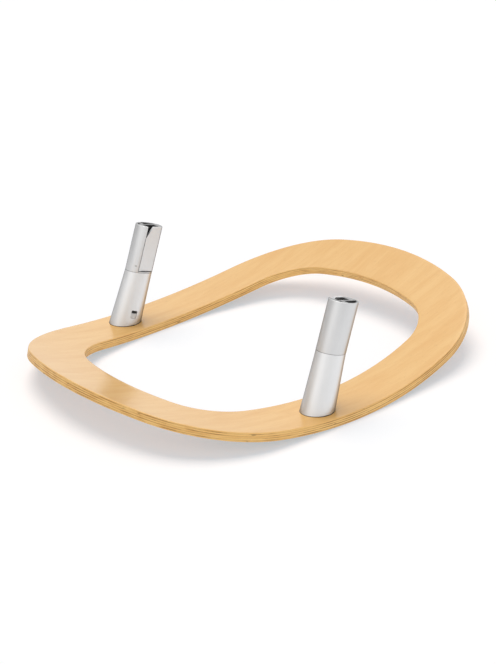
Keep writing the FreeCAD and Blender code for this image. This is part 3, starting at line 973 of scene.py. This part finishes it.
def make_sleeve(name):
    """Lower half of a post: the flared sleeve with its bore and lock window."""
    bore = rod(BORE_RADIUS, *BORE_REACH, POST_STEPS)
    half = WINDOW_WIDTH / 2
    opening = rounded_rectangle(-half, half, WINDOW_LOW, WINDOW_HIGH, WINDOW_CORNER)
    window = prism(opening, "Y", CUT_FRONT, 0.0)
    window.transform(Matrix.Rotation(LOCK_TURN, 4, "Z"))
    return carved(sleeve_blank(), name, [("DIFFERENCE", bore), ("DIFFERENCE", window)], EDGE_SOFTNESS)


def head_blank():
    """The head's round body with chamfered ends."""
    builder = rod(POST_RADIUS, *HEAD_REACH, POST_STEPS)
    point, normal = tilted(SEAM_HEIGHT)
    foot = trimmed(builder, point, opposite(normal))
    bmesh.ops.bevel(builder, geom=foot, offset=SEAM_CHAMFER * MM, segments=1, affect="EDGES")
    rim = trimmed(builder, *tilted(POST_LENGTH))
    bmesh.ops.bevel(builder, geom=rim, offset=RIM_CHAMFER * MM, segments=2, profile=0.5, affect="EDGES")
    return mesh_from(builder, "head_blank")


def arc_points(radius, first_x, last_x, steps):
    """Points of the round pocket wall between two values of x."""
    first, last = math.acos(first_x / radius), math.acos(last_x / radius)
    return [(radius * math.cos(first + (last - first) * i / steps),
             radius * math.sin(first + (last - first) * i / steps)) for i in range(steps + 1)]


def flap_cuts():
    """The flap's recess, the hinge's space behind it, the spring's well and the pin's bore."""
    slope = math.tan(END_TILT)
    low, high = RECESS_FOOT - RECESS_HALF * slope, RECESS_FOOT + RECESS_HALF * slope
    foot = [(-RECESS_HALF, low), (RECESS_HALF, high)]
    recess = prism(foot + [(RECESS_HALF, CUT_TOP), (-RECESS_HALF, CUT_TOP)], "Y", CUT_FRONT, -LEDGE_FACE)
    hinge = prism(foot + [(RECESS_HALF, HINGE_TOP), (-RECESS_HALF, HINGE_TOP)], "Y",
                  -LEDGE_FACE - MARGIN, -HINGE_BACK)
    well = prism(rectangle(-WELL_HALF, WELL_HALF, WELL_FLOOR, HINGE_TOP - MARGIN), "Y",
                 -FLAP_BACK, -HINGE_BACK + HAIR)
    bore = rod(PIN_RADIUS, -PIN_REACH, PIN_REACH, PIN_STEPS)
    pin_place = Matrix.Translation((0.0, -PIN_INSET * MM, PIN_HEIGHT * MM))
    bore.transform(pin_place @ Matrix.Rotation(math.pi / 2, 4, "Y"))
    return recess, hinge, well, bore


def pocket_cuts():
    """The pockets open at the top: the flap's blade pocket, and the outer one in two parts."""
    corner = POST_LENGTH - POCKET_HALF * math.tan(END_TILT)
    blade = prism([(-POCKET_HALF, POCKET_FLOOR), (POCKET_HALF, POCKET_FLOOR), (POCKET_HALF, CUT_TOP),
                   (-RECESS_HALF, CUT_TOP), (-RECESS_HALF, corner), (-POCKET_HALF, corner - FUNNEL_DROP)],
                  "Y", -LEDGE_FACE - MARGIN, POCKET_BACK)
    side = math.sqrt(OUTER_RADIUS ** 2 - OUTER_FACE ** 2)
    right_wall = arc_points(OUTER_RADIUS, side, RIB_SIDES[1], POCKET_STEPS[0])
    right = prism([(RIB_SIDES[1], OUTER_FACE)] + right_wall, "Z", OUTER_FLOOR, CUT_TOP)
    left_wall = arc_points(OUTER_RADIUS, RIB_SIDES[0], -side, POCKET_STEPS[1])
    left = prism([(RIB_SIDES[0], OUTER_FACE)] + left_wall, "Z", OUTER_FLOOR, CUT_TOP)
    return blade, right, left


def make_head(name):
    """Upper half of a post: neck, flap recess with its hinge space, and the pockets open at the top."""
    neck = rod(NECK_RADIUS, SEAM_HEIGHT - NECK_LENGTH, SEAM_HEIGHT + LONG_MARGIN, POST_STEPS)
    recess, hinge, well, bore = flap_cuts()
    cuts = (recess, hinge, well, *pocket_cuts(), bore)
    changes = [("UNION", neck)] + [("DIFFERENCE", cut) for cut in cuts]
    return carved(head_blank(), name, changes, EDGE_SOFTNESS)


def post_place(side):
    """From the post's frame to its place, on the back or, mirrored, on the front side."""
    foot = Vector((POST_X, POST_Y, POST_FOOT_Z)) * MM
    place = Matrix.Translation(foot) @ Matrix.Rotation(POST_LEAN, 4, "Y")
    if side == "front":
        place = Matrix.Scale(-1.0, 4, (0.0, 1.0, 0.0)) @ place
    return place


def place_post_piece(obj, side, cad_name, material):
    """Moves a piece from the post's frame to its place, dresses it and adds it to the part."""
    obj.data.transform(post_place(side))
    if side == "front":
        obj.data.flip_normals()
    dress(obj.data, material)
    smooth_faces(obj.data)
    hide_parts(side + "_" + cad_name)
    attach(obj, "base")


# Small pieces that keep their solids' shape, with smooth round faces and eased edges

def tongue_slope(side):
    """The space above the slope on the lock tongue, at its place in a post."""
    low, high = WINDOW_LOW + TONGUE_GAP, WINDOW_HIGH - TONGUE_GAP
    start = low + SLOPE_START * (high - low)
    front = -(POST_RADIUS + MARGIN)
    back = -POST_RADIUS + SLOPE_DEPTH
    top = high + LONG_MARGIN
    cut = prism([(front, start), (back, high), (back, top), (front, top)], "X", -SLOPE_HALF, SLOPE_HALF)
    cut.transform(post_place(side) @ Matrix.Rotation(LOCK_TURN, 4, "Z"))
    bmesh.ops.recalc_face_normals(cut, faces=cut.faces)
    return cut


def polished_copy(cad_name, name, body, material, ease=COPY_EASE, changes=()):
    """A merged, smooth-shaded copy of a CAD node, its sharp edges slightly eased."""
    builder = bmesh.new()
    builder.from_mesh(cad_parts[cad_name].data)
    bmesh.ops.remove_doubles(builder, verts=builder.verts, dist=MERGE_DISTANCE)
    bmesh.ops.dissolve_limit(builder, angle_limit=math.radians(FLAT_ANGLE), verts=builder.verts,
                             edges=builder.edges, delimit={"NORMAL"})
    mesh = mesh_from(builder, name)
    dress(mesh, material)
    obj = carved(mesh, name, changes, ease)
    smooth_faces(obj.data)
    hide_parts(cad_name)
    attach(obj, body)
    return obj


def make_spring(side, spring):
    """A spring as a merged, smooth-shaded copy of its CAD node, with a mesh of its own."""
    name = side + "_" + spring
    piece = polished_copy(name, name + "_strip", "base", SPRING_STEEL, 0.0)
    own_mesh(piece)


def make_posts():
    """Both posts, outside and inside."""
    for side in ("back", "front"):
        place_post_piece(make_sleeve(side + "_sleeve"), side, "foot_sleeve", SATIN_SLEEVE)
        place_post_piece(make_head(side + "_head"), side, "seat_head", SATIN_HEAD)
        polished_copy(side + "_latch_flap", side + "_flap", side + "_flap", SATIN_FLAP)
        polished_copy(side + "_lock_tongue", side + "_tongue", side + "_lock", GREY_TONGUE,
                      changes=[("DIFFERENCE", tongue_slope(side))])
        dress(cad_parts[side + "_mounting_spigot"].data, BARE_CASTING)
        dress(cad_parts[side + "_spring_plug"].data, PLUG_PLASTIC)
        make_spring(side, "lock_spring")
        make_spring(side, "flap_spring")
    polished_copy("flap_pins", "hinge_pins", "base", PLATED_STEEL, PIN_EASE)
    polished_copy("foot_gaskets", "gaskets", "base", BLACK_RUBBER, 0.0)


# Screws

def screw_tree(profile):
    """A screw at each point of a mesh, turned to the point's stored direction."""
    tree, given, result, names = geometry_tree("post_screws", [("Screw Scale", "NodeSocketFloat")])
    info = node(tree, "GeometryNodeObjectInfo")
    info.inputs["Object"].default_value = profile
    direction = node(tree, "GeometryNodeInputNamedAttribute", data_type="FLOAT_VECTOR",
                     inputs={"Name": "into_post"})
    turned = node(tree, "FunctionNodeAlignRotationToVector", axis="Z",
                  inputs={"Vector": direction.outputs["Attribute"]})
    placed = node(tree, "GeometryNodeInstanceOnPoints",
                  inputs={"Points": given.outputs[0], "Instance": info.outputs["Geometry"],
                          "Rotation": turned.outputs[0], "Scale": given.outputs["Screw Scale"]})
    finish_tree(tree, result, placed.outputs[0], PLATED_STEEL)
    return tree, names


def screw_shape():
    """One countersunk screw with a hexagon key recess, its head's face at the origin."""
    head, shank = SCREW_HEAD_RADIUS, SCREW_RADIUS
    flat = KEY_ACROSS / 2 / math.cos(math.pi / 6)
    key = [(0.0, KEY_DEPTH + KEY_POINT), (flat * 0.98, KEY_DEPTH), (flat, 0.0)]
    cone = [(head - HEAD_EASE, 0.0), (head, HEAD_RIM), (shank, head - shank + HEAD_RIM)]
    tip = [(shank, SCREW_LENGTH - SCREW_TIP), (shank - SCREW_TIP, SCREW_LENGTH), (0.0, SCREW_LENGTH)]
    builder = lathe(key + cone + tip, SCREW_STEPS)
    for vert in builder.verts:
        reach = math.hypot(vert.co.x, vert.co.y)
        if 0.0 < reach <= flat * MM * 1.01 and vert.co.z <= KEY_DEPTH * MM * 1.01:
            angle = math.atan2(vert.co.y, vert.co.x) % (math.pi / 3) - math.pi / 6
            across = KEY_ACROSS / 2 * MM / math.cos(angle)
            vert.co.x *= across / reach
            vert.co.y *= across / reach
    return linked("screw_shape", mesh_from(builder, "screw_shape"))


def make_screws():
    """The four mounting screws under the board."""
    places = screw_places()
    mesh = bpy.data.meshes.new("screw_points")
    mesh.from_pydata([foot for foot, _ in places], [], [])
    stored = mesh.attributes.new("into_post", "FLOAT_VECTOR", "POINT")
    for i, (_, normal) in enumerate(places):
        stored.data[i].vector = normal
    carrier = linked("screw_points", mesh)
    profile = screw_shape()
    tree, names = screw_tree(profile)
    modifier = carrier.modifiers.new("screws", "NODES")
    modifier.node_group = tree
    modifier[names["Screw Scale"]] = 1.0
    screws = baked(carrier, "post_screws")
    bpy.data.objects.remove(profile)
    smooth_faces(screws.data, SCREW_CREASE)
    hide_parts("mounting_screws")
    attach(screws, "base")


# Setting

def white_floor():
    """A softly lit white floor that keeps the object's shadow."""
    material, tree, shader, coordinates = new_material("white_floor")
    mottled = noise(tree, coordinates, 2.0, 2.0)
    colour = mix_colour(tree, mottled, FLOOR_DARK, FLOOR_PALE)
    tree.links.new(colour, shader.inputs["Base Color"])
    shader.inputs["Roughness"].default_value = 0.9
    shader.inputs["Specular IOR Level"].default_value = 0.1
    shader.inputs["Emission Color"].default_value = FLOOR_GLOW
    shader.inputs["Emission Strength"].default_value = 1.0
    mesh = bpy.data.meshes.new("floor")
    corners = rectangle(-FLOOR_HALF, FLOOR_HALF, -FLOOR_HALF, FLOOR_HALF)
    mesh.from_pydata([(x, y, 0.0) for x, y in corners], [], [(0, 1, 2, 3)])
    mesh.materials.append(material)
    floor = linked("floor", mesh)


def level_direction(degrees):
    """The level direction that many degrees from +Y towards +X."""
    return math.sin(math.radians(degrees)), math.cos(math.radians(degrees)), 0.0


def pointing(tree, direction, towards):
    """How much one direction points along another."""
    return node(tree, "ShaderNodeVectorMath", operation="DOT_PRODUCT",
                inputs={0: direction, 1: towards}).outputs["Value"]


def mirrored_room(tree, glossy_depth):
    """Brightness of the room that the metal mirrors.

    It is greyer on the viewer's side, with a bright side, a dark corner and faint upright
    bands, and nearly dark where one mirroring face shows in another.
    """
    direction = node(tree, "ShaderNodeTexCoord").outputs["Generated"]
    bands = noise(tree, stretched(tree, direction, (2.6, 2.6, 0.3)), 1.0, 1.0)
    ahead = pointing(tree, direction, level_direction(VIEW_TURN))
    room = smooth_range(tree, ahead, -0.6, 0.5, ROOM_GREY, 1.0)
    bright = smooth_range(tree, pointing(tree, direction, BRIGHT_SIDE), 0.55, 1.0, 1.0, BRIGHT_GAIN)
    dark = smooth_range(tree, pointing(tree, direction, DARK_CORNER), 0.5, 0.95, 1.0, DARK_SHARE)
    room = times(tree, times(tree, room, bright), dark)
    room = times(tree, room, smooth_range(tree, bands, 0.35, 0.65, BAND_SHARE, 1.0))
    return times(tree, room, smooth_range(tree, glossy_depth, 1.2, 1.8, 1.0, ROOM_AGAIN))


def surroundings():
    """A world that is white to the camera, dimmer to diffuse rays and a room to mirrored ones."""
    world = bpy.data.worlds.new("white_room")
    bpy.context.scene.world = world
    world.use_nodes = True
    tree = world.node_tree
    tree.nodes.clear()
    path = node(tree, "ShaderNodeLightPath")
    room = mirrored_room(tree, path.outputs["Glossy Depth"])
    mirrored = maths(tree, "MAXIMUM", path.outputs["Is Glossy Ray"], path.outputs["Is Transmission Ray"])
    unseen = mix_value(tree, mirrored, WORLD_FILL, room)
    strength = mix_value(tree, path.outputs["Is Camera Ray"], unseen, 1.0)
    back = node(tree, "ShaderNodeBackground", inputs={"Color": (1.0, 1.0, 1.0, 1.0), "Strength": strength})
    output = tree.nodes.new("ShaderNodeOutputWorld")
    tree.links.new(back.outputs[0], output.inputs[0])


def soft_lamp(name, strength, angle, direction):
    """A broad distant lamp that shines from a direction."""
    data = bpy.data.lights.new(name, "SUN")
    data.angle = math.radians(angle)
    data.energy = strength
    lamp = linked(name, data)
    lamp.location = direction
    lamp.rotation_euler = (-lamp.location).to_track_quat("-Z", "Y").to_euler()
    return lamp


def lamps():
    """A lamp from above, and a fill from the front that the metal doesn't mirror."""
    soft_lamp("ceiling_lamp", LAMP_STRENGTH, LAMP_ANGLE, LAMP_DIRECTION)
    fill = soft_lamp("front_fill", FILL_STRENGTH, FILL_ANGLE, FILL_DIRECTION)
    fill.visible_glossy = False


def camera():
    """The camera at the photograph's place."""
    turn, down, roll = (math.radians(a) for a in (VIEW_TURN, VIEW_DOWN, VIEW_ROLL))
    right = Vector((math.cos(turn), -math.sin(turn), 0.0))
    ahead = Vector(level_direction(VIEW_TURN))
    forward = ahead * math.cos(down) - Vector((0, 0, 1)) * math.sin(down)
    upward = ahead * math.sin(down) + Vector((0, 0, 1)) * math.cos(down)
    image_right = right * math.cos(roll) + upward * math.sin(roll)
    image_up = upward * math.cos(roll) - right * math.sin(roll)
    place = Vector((VIEW_AIM[0], VIEW_AIM[1], 0.0)) * MM - forward * VIEW_DISTANCE * MM
    data = bpy.data.cameras.new("camera")
    data.sensor_fit = "HORIZONTAL"
    data.sensor_width = SENSOR_WIDTH
    data.lens = VIEW_FOCAL_PIXELS * SENSOR_WIDTH / IMAGE_WIDTH
    obj = linked("camera", data)
    turn_matrix = Matrix((image_right, image_up, -forward)).transposed().to_4x4()
    obj.matrix_world = Matrix.Translation(place) @ turn_matrix
    bpy.context.scene.camera = obj


bpy.context.scene.view_settings.view_transform = "Standard"
make_board()
make_posts()
make_screws()
white_floor()
surroundings()
lamps()
camera()
